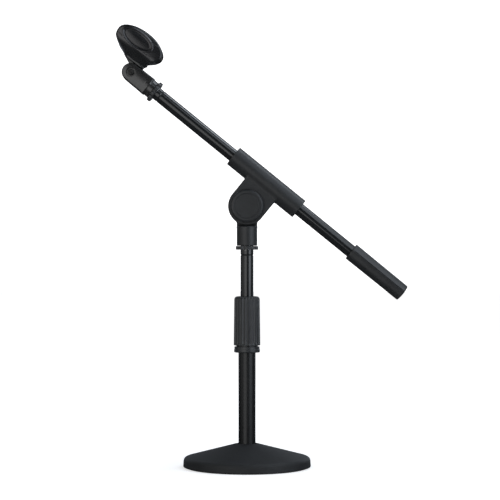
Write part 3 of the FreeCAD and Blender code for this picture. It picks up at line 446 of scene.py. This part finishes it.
FINISHES = {
    "base_iron": finish(
        "base_iron", grey(0.012, COOL), grey(0.015, COOL), 0.6, grain=1400, bump=0.05, specular=0.35
    ),
    "foot_rubber": finish("foot_rubber", grey(0.018), grey(0.026), 0.7, grain=900, bump=0.05),
    "zinc_steel": finish(
        "zinc_steel", grey(0.42), grey(0.52), 0.3, metallic=1.0, stretch=(1, 1, 6), mottle=300
    ),
    "lower_tube_paint": finish(
        "lower_tube_paint", grey(0.006, COOL), grey(0.008, COOL), 0.34, specular=0.38
    ),
    "gloss_tube_paint": finish(
        "gloss_tube_paint", grey(0.008, COOL), grey(0.01, COOL), 0.17, bump=0.004, uneven=0.02
    ),
    "clutch_plastic": finish("clutch_plastic", grey(0.016, COOL), grey(0.021, COOL), 0.38),
    "head_plastic": finish(
        "head_plastic", grey(0.012, COOL), grey(0.016, COOL), 0.43, bump=0.03, specular=0.4
    ),
    "knob_plastic": finish("knob_plastic", grey(0.014, COOL), grey(0.018, COOL), 0.36, bump=0.03),
    "nylon": finish("nylon", grey(0.014), grey(0.02), 0.45),
    "lock_ring_metal": finish(
        "lock_ring_metal", grey(0.014, COOL), grey(0.02, COOL), 0.42, bump=0.03
    ),
    "brass": finish(
        "brass", (0.55, 0.37, 0.13), (0.66, 0.47, 0.18), 0.3, metallic=1.0, stretch=(1, 1, 8)
    ),
    "fibre": finish("fibre", (0.07, 0.05, 0.035), (0.12, 0.09, 0.06), 0.8, grain=700, bump=0.06),
    "core_iron": finish("core_iron", grey(0.05), grey(0.08, 0.05), 0.6, grain=600, bump=0.1),
    "weight_grip": finish("weight_grip", grey(0.01, COOL), grey(0.013, COOL), 0.34),
    "yoke_plastic": finish(
        "yoke_plastic", grey(0.01), grey(0.014), 0.25, uneven=0.03, specular=0.65
    ),
    "black_screw": finish(
        "black_screw", grey(0.006), grey(0.01), 0.3, stretch=(1, 6, 1), specular=0.25
    ),
    "clip_rubber": finish(
        "clip_rubber", grey(0.007, COOL), grey(0.01, COOL), 0.25, bump=0.01, specular=0.55
    ),
}

# ---------------------------------------------------------------- foot and upright
# Sizes are in millimetres from here on, up to the studio.

TUBE_WALL = 1.3
CRIMP_HALF = 1.0  # half the width of a crimp
CRIMP_DEPTH = 0.55
CRIMP_INSET = 6.1  # from the tube's end to the middle of the crimp


def build_foot():
    """Cast cone with its hollow underside, and the rubber ring let into it."""
    hole, outer, lift, top = girth("base_casting", UPRIGHT)
    ring_in, ring_out, ring_low, ring_top = girth("base_rubber_ring", UPRIGHT)
    _, socket, socket_floor, _ = girth("lower_tube", UPRIGHT)
    seat = girth("base_flat_washer", UPRIGHT)[3]
    draft, crown, hollow, roof, sink, gap = 0.7, 13.5, 60.0, 9.0, 13.0, 0.05
    slope = math.tan(math.radians(15))
    shoulder = top - (outer - draft - crown) * slope
    section = outline(
        (hole, seat),
        (sink, seat, 0.6),
        (sink, roof, 1.2),
        (hollow, roof, 3.0),
        (hollow, lift, 0.8),
        (ring_in - gap, lift),
        (ring_in - gap, ring_top),
        (ring_out + gap, ring_top),
        (ring_out + gap, lift),
        (outer, lift, 0.8),
        (outer - draft, shoulder, 5.0),
        (crown, top, 9.0),
        (socket + gap, top, 0.5),
        (socket + gap, socket_floor),
        (hole, socket_floor),
        spacing=4.0,
    )
    stand_for(turn("foot_casting", UPRIGHT, section, sides=256), "base_casting")

    grooves, groove, groove_edge, margin = 3, 0.7, 0.15, 2.2
    tread = []
    for line in np.linspace(ring_in + margin, ring_out - margin, grooves):
        tread += [
            (line - groove, ring_low, groove_edge),
            (line, ring_low + groove, groove_edge),
            (line + groove, ring_low, groove_edge),
        ]
    section = outline(
        (ring_in, ring_low, 0.5),
        *tread,
        (ring_out, ring_low, 0.5),
        (ring_out, ring_top),
        (ring_in, ring_top),
    )
    stand_for(turn("foot_ring", UPRIGHT, section, sides=192), "base_rubber_ring")


def build_tubes():
    """Outer tube, sliding tube and boom, the last two crimped on their studs."""
    stand_for(tube("outer_tube", "lower_tube", UPRIGHT), "lower_tube")
    top = girth("upper_tube", UPRIGHT)[3]
    stand_for(tube("sliding_tube", "upper_tube", UPRIGHT, top - CRIMP_INSET), "upper_tube")
    start = girth("boom_rod", BOOM)[2]
    stand_for(tube("boom_tube", "boom_rod", BOOM, start + CRIMP_INSET), "boom_rod")


def build_clutch():
    """Fixed collar with its sleeve, and the fluted grip above it."""
    bore, outer, low, high = girth("clutch_seat", UPRIGHT)
    foot, sleeve, collar, chamfer = 7.1, 13.2, 3.6, 0.4
    collar_radius, upper_radius = outer - 0.2, outer - 0.6
    section = outline(
        (bore, low),
        (collar_radius, low, 1.3),
        (collar_radius, low + collar),
        (upper_radius, low + collar + chamfer),
        (upper_radius, low + foot, 0.4),
        (sleeve, low + foot),
        (sleeve, high),
        (bore, high),
    )
    stand_for(turn("clutch_collar", UPRIGHT, section, sides=192), "clutch_seat")

    mouth, foot_radius, low, high = girth("clutch_grip", UPRIGHT)
    hollow, shelf, lip, head_radius = 13.6, 29.9, 5.4, 15.65
    cone_start, cone_end, cone_run = 13.5, 10.7, 0.5
    plain, run_in, flutes, flute, depth, sides_per_flute = 1.0, 1.4, 24, 1.55, 0.95, 18
    section = outline(
        (hollow, low),
        (foot_radius, low, 0.7),
        (head_radius, high, 4.0),
        (mouth, high, 0.6),
        (mouth, high - lip),
        (cone_end, high - lip),
        (cone_start, low + shelf),
        (hollow, low + shelf + cone_run),
        spacing=1.2,
    )
    cut = notched(flutes, flute, depth, inside=14.3, soft=0.3)

    def fluted(radius, height, angle):
        share = ramp(height, low + plain, low + plain + run_in)
        return radius + share * (cut(radius, height, angle) - radius)

    piece = turn("clutch_fluted_grip", UPRIGHT, section, fluted, sides=flutes * sides_per_flute)
    stand_for(piece, "clutch_grip")


def build_lock_rings():
    """Lobed rings on the two studs."""
    for name, node, place, phase in (
        ("stud_lock_ring", "upper_lock_ring", UPRIGHT, 0.0),
        ("yoke_lock_ring", "boom_lock_ring", BOOM, math.pi / 2),
    ):
        bore, outer, low, high = girth(node, place)
        section = outline(
            (bore, low, 0.4), (outer, low, 0.9), (outer, high, 0.9), (bore, high, 0.4), spacing=1.0
        )
        lobes = notched(count=10, notch=2.7, reach=1.5, inside=10.5, soft=0.7, phase=phase)
        stand_for(turn(name, place, section, lobes, sides=240), node)


# --------------------------------------------------------------------------- head


def build_swivel():
    """Socket with the rear ear of the pivot above it, and a rib behind the ear."""
    low, high = extent("swivel_socket", UPRIGHT)
    barrel_radius, ear_radius, bottom = -low[1], high[0], low[2]
    pivot = HEAD.origin[2] / MM
    ear_gap, front_gap, back_gap = 0.6, 0.3, 0.4
    barrel_top = pivot - ear_radius - ear_gap
    front = girth("friction_washer", BACK)[3] + front_gap
    back = girth("pivot_washer", BACK)[2] - back_gap
    insert = girth("socket_thread_insert", UPRIGHT)
    hole, insert_radius, insert_top = 4.05, insert[1] + FIT, insert[3]
    neck_sink, rib_half, rib_start, rib_lap = 3, 2, 6, 4

    def field(p):
        x, y, z = p.T
        barrel = meet(disc(x, y, barrel_radius), z - barrel_top, 2.6)
        barrel = meet(barrel, bottom - z, 0.7)
        ear = disc(x, z - pivot, ear_radius)
        neck = np.maximum(np.abs(x) - barrel_radius, slab(z, barrel_top - neck_sink, pivot))
        plate = meet(join(ear, neck, 1.5), slab(y, front, back), 1.2)
        rib = np.maximum(np.abs(x) - rib_half, slab(z, bottom + rib_start, barrel_top + rib_lap))
        rib = meet(rib, slab(y, front, barrel_radius), 0.6)
        body = join(join(barrel, plate, 1.2), rib, 0.8)
        body = meet(body, -disc(x, z - pivot, hole), 0.4)
        way = np.maximum(disc(x, y, insert_radius), z - insert_top)
        return meet(body, -way, 0.4)

    stand_for(sculpt("swivel_body", UPRIGHT, field, low, high, 0.65), "swivel_socket")


def build_holder():
    """Sleeve of the boom on its web, which goes on down in front as the front ear."""
    low, high = extent("boom_holder", HEAD)
    sleeve_radius, half, ear_radius = high[1], high[0], -low[2]
    axis = high[2] - sleeve_radius
    face = girth("pivot_cap", FRONT)[2] - FIT
    ear_back = girth("friction_washer", BACK)[2]
    bush = girth("sleeve_bush_weight_end", BOOM)
    seat_start = half - (bush[3] - bush[2])
    shoe_low, shoe_high = extent("clamp_shoe", HEAD)
    bore, clearance, bolt, recess, recess_depth = 8.6, 0.6, 4.02, 8.2, 2.0
    shoe_gap = 0.1

    def field(p):
        x, y, z = p.T
        sleeve = meet(disc(y, z - axis, sleeve_radius), np.abs(x) - half, 0.9)
        web = np.maximum(np.abs(x) - ear_radius, slab(z, 0, axis))
        plate = meet(np.minimum(web, disc(x, z, ear_radius)), np.abs(y) - face, 1.0)
        sweep = np.maximum(disc(x, z, ear_radius + clearance), ear_back - y)
        plate = meet(plate, -sweep, 0.4)
        body = join(sleeve, plate, 1.6)
        way = np.minimum(
            disc(y, z - axis, bore),
            np.maximum(disc(y, z - axis, bush[1] + FIT), seat_start - np.abs(x)),
        )
        body = meet(body, -way, 0.5)
        shoe = slab(x, shoe_low[0] - shoe_gap, shoe_high[0] + shoe_gap)
        shoe = np.maximum(shoe, slab(y, shoe_low[1] - shoe_gap, shoe_high[1] + shoe_gap))
        body = np.maximum(body, -np.maximum(shoe, slab(z, 0, axis)))
        screw = np.minimum(
            disc(x, z, bolt), np.maximum(disc(x, z, recess), y + face - recess_depth)
        )
        return meet(body, -screw, 0.3)

    stand_for(sculpt("boom_sleeve", HEAD, field, low, high, 0.65), "boom_holder")


def build_pivot():
    """Plain cap in front of the pivot and the five-lobed knob behind it."""
    _, outer, back, front = girth("pivot_cap", FRONT)
    rim, groove, hollow, floor = 14.6, 0.4, 9.0, back + 2.6
    section = outline(
        (0, front, 0),
        (rim, front, 0.35),
        (rim + groove, front - groove, 0.15),
        (rim + 2 * groove, front, 0.35),
        (outer, front, 3.4),
        (outer, back, 0.5),
        (hollow, back, 0.4),
        (hollow, floor, 0.4),
        (0, floor, 0),
        spacing=3.0,
    )
    stand_for(turn("pivot_cover", FRONT, section, sides=192), "pivot_cap")

    _, outer, start, end = girth("pivot_knob", BACK)
    insert = girth("knob_insert", BACK)
    dish, dish_floor, dish_depth, foot, taper, spare = 8.0, 7.0, 1.6, 11.5, 3.0, 1.0
    section = outline(
        (0, end - dish_depth, 0),
        (dish_floor, end - dish_depth, 0.6),
        (dish, end, 0.6),
        (outer, end, 3.5),
        (outer, start + taper, 2.0),
        (foot, start, 1.0),
        (insert[1] + FIT, start),
        (insert[1] + FIT, insert[3] + spare),
        (0, insert[3] + spare, 0),
        spacing=1.2,
    )
    lobes = notched(count=5, notch=7.5, reach=4.0, inside=11.0, soft=1.8)
    stand_for(turn("tilt_knob", BACK, section, lobes, sides=240), "pivot_knob")


def build_counterweight():
    """Grip with eight crowned facets parted by thin grooves, on the end of the boom."""
    inner, outer, start, end = girth("counterweight_grip", BOOM)
    core = girth("counterweight_core", BOOM)
    taper, facets, sag, groove, groove_depth = 0.45, 8, 0.5, 0.5, 0.75
    dome, dome_flat, wall, phase, sides_per_facet = 0.8, 0.55, 1.0, math.radians(255.5), 48
    skin_from, skin_to, line_from, line_to = 3.5, 1.2, 1.5, 3.0
    section = outline(
        (inner, start, 0.4),
        (outer, start, 0.6),
        (outer - taper, end - dome, 1.4),
        (outer * dome_flat, end, 8.0),
        (0, end, 0),
        (0, core[3] + FIT, 0),
        (core[1] + FIT, core[3] + FIT),
        (core[1] + FIT, start + wall),
        (inner, start + wall),
        spacing=1.6,
    )

    def faceted(radius, height, angle):
        turned = ((angle - phase) / FULL_TURN * facets) % 1
        flat = sag * (1 - (2 * turned - 1) ** 2)
        off = np.minimum(turned, 1 - turned) * FULL_TURN * outer / facets
        line = groove_depth * ramp(-off, -groove, 0)
        share = ramp(radius, outer - skin_from, outer - skin_to)
        line = line * ramp(height, start + line_from, start + line_to)
        return radius - share * (flat + line)

    piece = turn("weight_faceted_grip", BOOM, section, faceted, sides=facets * sides_per_facet)
    stand_for(piece, "counterweight_grip")


# --------------------------------------------------------------------------- clip


def build_yoke():
    """Fork with a round nose, a well for the screw's head and a round root."""
    low, high = extent("clip_yoke", TIP)
    nose, half, root, root_end = -low[0], high[1], high[2], high[0]
    insert = girth("yoke_thread_insert", BOOM)
    block, root_lap, slot_end, slot_half, crown = 28.0, 6, 12.5, 4.1, 2.0
    screw, sink, sink_depth, nut, nut_seat = 3.02, 5.6, 4.6, 6.07, 6.5

    def field(p):
        x, y, z = p.T
        cheek = np.abs(z) - nose - (root - nose) * np.clip(x / block, 0, 1)
        plan = np.minimum(disc(x, z, nose), np.maximum(cheek, slab(x, 0, block)))
        body = meet(plan, np.abs(y) + crown * (z / nose) ** 2 - half, 1.6)
        barrel = meet(disc(y, z, half), slab(x, block - root_lap, root_end), 0.4)
        body = join(body, barrel, 0.8)
        slot = np.maximum(np.abs(y) - slot_half, x - slot_end)
        body = meet(body, -slot, 0.4)
        way = np.maximum(disc(y, z, insert[1] + FIT), insert[2] - x)
        body = meet(body, -way, 0.35)
        well = np.maximum(disc(x, z, sink), y + half - sink_depth)
        seat = np.maximum(disc(x, z, nut), nut_seat - y)
        holes = np.minimum(np.minimum(disc(x, z, screw), well), seat)
        return meet(body, -holes, 0.3)

    stand_for(sculpt("clip_fork", TIP, field, low, high, 0.45), "clip_yoke")


def build_screw():
    """Slotted screw that the clip swings on."""
    low, high = extent("clip_screw", TIP)
    shank, head, face, end = 2.98, high[0], low[1], high[1]
    head_depth, head_lap, slot_half, slot_depth = 2.2, 1, 0.65, 1.2

    def field(p):
        x, y, z = p.T
        rod = meet(disc(x, z, shank), slab(y, face + head_lap, end), 0.4)
        cap = meet(disc(x, z, head), slab(y, face, face + head_depth), 1.05)
        body = join(rod, cap, 0.2)
        way = np.maximum(np.abs(z) - slot_half, y - face - slot_depth)
        return meet(body, -way, 0.15)

    stand_for(sculpt("clip_slotted_screw", TIP, field, low, high, 0.25), "clip_screw")


def build_clip():
    """Rubber saddle open on top, dished on both sides, on a funnel neck and a tongue."""
    low, high = extent("mic_clip", CLIP)
    middle = CLIP.local(np.array(BARREL["pos_m"]))
    centre, axis = middle[0], middle[2]
    bore = BARREL["dims"]["r_mm"]
    lip_room = 0.4
    half_width = high[1] - lip_room
    lift, half_height, front_reach, back_reach = 0.85, 17.2, 32.9, 32.4
    widest, crown, keel, plan_length = axis - 2.5, 25.2, 13.0, 65.0
    trim_x, trim_z, trim_reach = 0.781, -0.624, -2.84
    edge_middle, edge_more, edge_from, edge_to = 1.2, 1.8, 14, 32
    mouth, tongue, eye, screw, lap = 9.0, 3.8, 9.3, 3.05, 1
    plate_low, plate_high, plate_start, plate_end, plate_half = 11.6, 14.2, -17.4, 8.9, 7.3
    heel_low, heel_start, heel_slope = 7.5, -9.2, 2.0
    neck_z = (plate_low, 15.0, 18.4, 22.0, 26.0)
    neck_start = (-17.6, -24.1, -30.6, -36.6, -41.3)
    neck_end = (8.8, 10.2, 12.8, 15.5, 18.0)
    neck_half = (5.6, 8.5, 11.6, 14.5, 17.0)
    squareness, neck_share = 2.6, 0.75
    root_front, root_less, root_from, root_to = 5.0, 2.5, -18, 2
    dish_x, dish_z, dish_long, dish_up, dish_depth = -16.0, 36.1, 21.3, 9.8, 1.5
    dish_inside, lip_sink, lip = 8, 0.4, 0.9

    def field(p):
        x, y, z = p.T
        reach = np.where(x < centre, front_reach, back_reach)
        sides = oval(x - centre, z - axis - lift, reach, half_height)
        plan = oval(x - centre, y, plan_length, half_width)
        barrel = oval(y, z - widest, half_width, np.where(z < widest, keel, crown))
        edge = edge_middle + edge_more * ramp(np.abs(x - centre), edge_from, edge_to)
        shell = meet(meet(plan, barrel, 3.0), sides, edge)
        shell = meet(shell, trim_x * x + trim_z * z - trim_reach, 2.5)

        start, end = np.interp(z, neck_z, neck_start), np.interp(z, neck_z, neck_end)
        wide = np.interp(z, neck_z, neck_half)
        across = np.abs(2 * x - start - end) / (end - start)
        around = across**squareness + (np.abs(y) / wide) ** squareness
        around = around ** (1 / squareness) - 1
        neck = np.maximum(around * wide * neck_share, slab(z, plate_low, neck_z[-1]))
        body = join(shell, neck, root_front - root_less * ramp(x, root_from, root_to))

        hollow = oval(x - dish_x, z - dish_z, dish_long, dish_up)
        aside = dish_inside - np.abs(y)
        dish = np.maximum(meet(hollow, -(shell + dish_depth), 4.0), aside)
        body = meet(body, -dish, 0.5)
        body = join(body, np.maximum(disc(hollow, shell + lip_sink, lip), aside), 0.6)

        plate = meet(slab(x, plate_start, plate_end), np.abs(y) - plate_half, 2.5)
        plate = meet(plate, slab(z, plate_low, plate_high), 0.7)
        body = join(body, plate, 0.6)

        stem = np.maximum(slab(x, -eye, eye - lap), slab(z, 0, plate_low + lap))
        heel = (heel_start - x - heel_slope * (z - heel_low)) / math.hypot(1, heel_slope)
        heel = np.maximum(np.maximum(heel, x), slab(z, heel_low, plate_low + lap))
        tab = np.minimum(np.minimum(stem, heel), disc(x, z, eye))
        tab = meet(tab, np.abs(y) - tongue, 0.5)
        body = join(body, tab, 0.8)
        body = meet(body, -disc(x, z, screw), 0.3)

        way = disc(y, z - axis, bore)
        gap = np.maximum(np.abs(y) - mouth, axis - z)
        return meet(body, -join(way, gap, 1.2), 1.0)

    stand_for(sculpt("clip_saddle", CLIP, field, low, high, 0.6), "mic_clip")


# --------------------------------------------------------------------------- studio
# Everything here is in metres.

WHITE = (1.0, 1.0, 1.0)
BLUISH = (0.84, 0.91, 1.0)


def paint(name, glow, far_glow):
    """Matte stage paint whose glow passes from glow under the stand to far_glow round it. A lower
    glow under the stand is painted shade, so the floor is darker round the foot.
    """
    near, far = 0.08, 0.6
    material = bpy.data.materials.new(name)
    material.use_nodes = True
    nodes = material.node_tree.nodes
    link = material.node_tree.links.new
    shader = nodes["Principled BSDF"]
    shader.inputs["Base Color"].default_value = (*grey(0.8), 1)
    shader.inputs["Roughness"].default_value = 0.9
    shader.inputs["Emission Color"].default_value = (1, 1, 1, 1)
    where = nodes.new("ShaderNodeTexCoord")
    distance = nodes.new("ShaderNodeVectorMath")
    distance.operation = "LENGTH"
    link(where.outputs["Object"], distance.inputs[0])
    spread = nodes.new("ShaderNodeMapRange")
    spread.interpolation_type = "SMOOTHSTEP"
    spread.inputs["From Min"].default_value = near
    spread.inputs["From Max"].default_value = far
    spread.inputs["To Min"].default_value = glow
    spread.inputs["To Max"].default_value = far_glow
    link(distance.outputs["Value"], spread.inputs["Value"])
    link(spread.outputs["Result"], shader.inputs["Emission Strength"])
    return material


def stage_sheet(name, points, faces, material):
    mesh = bpy.data.meshes.new(name)
    mesh.from_pydata(points, [], faces)
    mesh.materials.append(material)
    sheet = bpy.data.objects.new(name, mesh)
    bpy.context.scene.collection.objects.link(sheet)
    return sheet


def build_stage():
    """Pale floor with a soft shadow, cast by the lamps and deepened by painted shade where the
    floor's glow is dimmed under the stand, and a white dome that only the camera sees.
    """
    reach, sides, rows = 9.0, 64, 16
    # Painted shade: the floor glows less under the stand than round it, which darkens the floor
    # round the foot.
    painted_shade_foot_glow, full_glow = 0.61, 1.02
    angles = [FULL_TURN * k / sides for k in range(sides)]
    rim = [(reach * math.cos(a), reach * math.sin(a), 0) for a in angles]
    material = paint("floor_paint", painted_shade_foot_glow, full_glow)
    floor = stage_sheet("floor", rim, [tuple(range(sides))], material)
    floor.visible_glossy = False

    points = []
    for row in range(-rows, rows + 1):
        lift = math.pi / 2 * row / rows
        ring = reach * math.cos(lift)
        points += [(ring * math.cos(a), ring * math.sin(a), reach * math.sin(lift)) for a in angles]
    faces = []
    for row, k in itertools.product(range(2 * rows), range(sides)):
        here, beside = row * sides + k, row * sides + (k + 1) % sides
        faces.append((here, beside, beside + sides, here + sides))
    material = paint("backdrop_paint", full_glow, full_glow)
    dome = stage_sheet("backdrop", points, faces, material)
    for ray in ("diffuse", "glossy", "transmission", "volume_scatter", "shadow"):
        setattr(dome, f"visible_{ray}", False)


def softbox(name, azimuth, elevation, distance, size, power, aim, tint):
    """Area light at an azimuth from the camera's side, turned towards the height aim.

    Angles are in degrees, and power is in watts.
    """
    data = bpy.data.lights.new(name, "AREA")
    data.shape = "RECTANGLE"
    data.size, data.size_y = size
    data.energy = power
    data.color = tint
    light = bpy.data.objects.new(name, data)
    turn_by, lift = math.radians(azimuth), math.radians(elevation)
    flat = distance * math.cos(lift)
    light.location = (
        flat * math.sin(turn_by),
        -flat * math.cos(turn_by),
        aim + distance * math.sin(lift),
    )
    light.rotation_euler = (math.pi / 2 - lift, 0, turn_by)
    light.visible_camera = False
    bpy.context.scene.collection.objects.link(light)


def build_studio():
    """Softboxes all round, dim surroundings and the camera."""
    for name, azimuth, elevation, distance, size, power, aim, tint in (
        ("left_box", -26, 6, 2.4, (1.9, 2.4), 22.4, 0.3, WHITE),
        ("side_box", -72, 5, 1.2, (0.8, 0.9), 1.2, 0.3, WHITE),
        ("right_box", 54, 24, 1.2, (1.05, 1.3), 8.0, 0.3, BLUISH),
        ("low_box", 50, -10, 1.2, (0.7, 0.6), 2.0, 0.45, BLUISH),
        ("top_box", 120, 60, 1.2, (0.9, 0.9), 3.6, 0.3, BLUISH),
        ("crown_box", 103, 52, 1.2, (0.35, 0.35), 2.2, 0.43, BLUISH),
        ("back_box", -120, 60, 1.2, (0.9, 0.9), 2.3, 0.3, BLUISH),
        ("right_rim", 150, 8, 1.2, (0.9, 0.9), 2.0, 0.3, BLUISH),
        ("left_rim", -150, 8, 1.2, (0.9, 0.9), 1.2, 0.3, BLUISH),
    ):
        softbox(name, azimuth, elevation, distance, size, power, aim, tint)
    world = bpy.data.worlds.new("surroundings")
    world.use_nodes = True
    world.node_tree.nodes["Background"].inputs["Color"].default_value = (0.01, 0.01, 0.011, 1)
    bpy.context.scene.world = world
    bpy.context.scene.view_settings.view_transform = "Standard"

    # Level with the middle of the stand and far from it, as in the photo.
    data = bpy.data.cameras.new("camera")
    data.sensor_width = 36.0
    data.lens = 126.3
    data.clip_end = 50.0
    camera = bpy.data.objects.new("camera", data)
    camera.location = (0.00365, -2.147, 0.2656)
    camera.rotation_euler = (math.pi / 2, 0, 0)
    bpy.context.scene.collection.objects.link(camera)
    bpy.context.scene.camera = camera


# --------------------------------------------------------------------------- build

for node_name, cad_node in frame["nodes"].items():
    cad_node.data.materials[0] = FINISHES[SLOTS[node_name]]

build_foot()
build_tubes()
build_clutch()
build_lock_rings()
build_swivel()
build_holder()
build_pivot()
build_counterweight()
build_yoke()
build_screw()
build_clip()
build_stage()
build_studio()
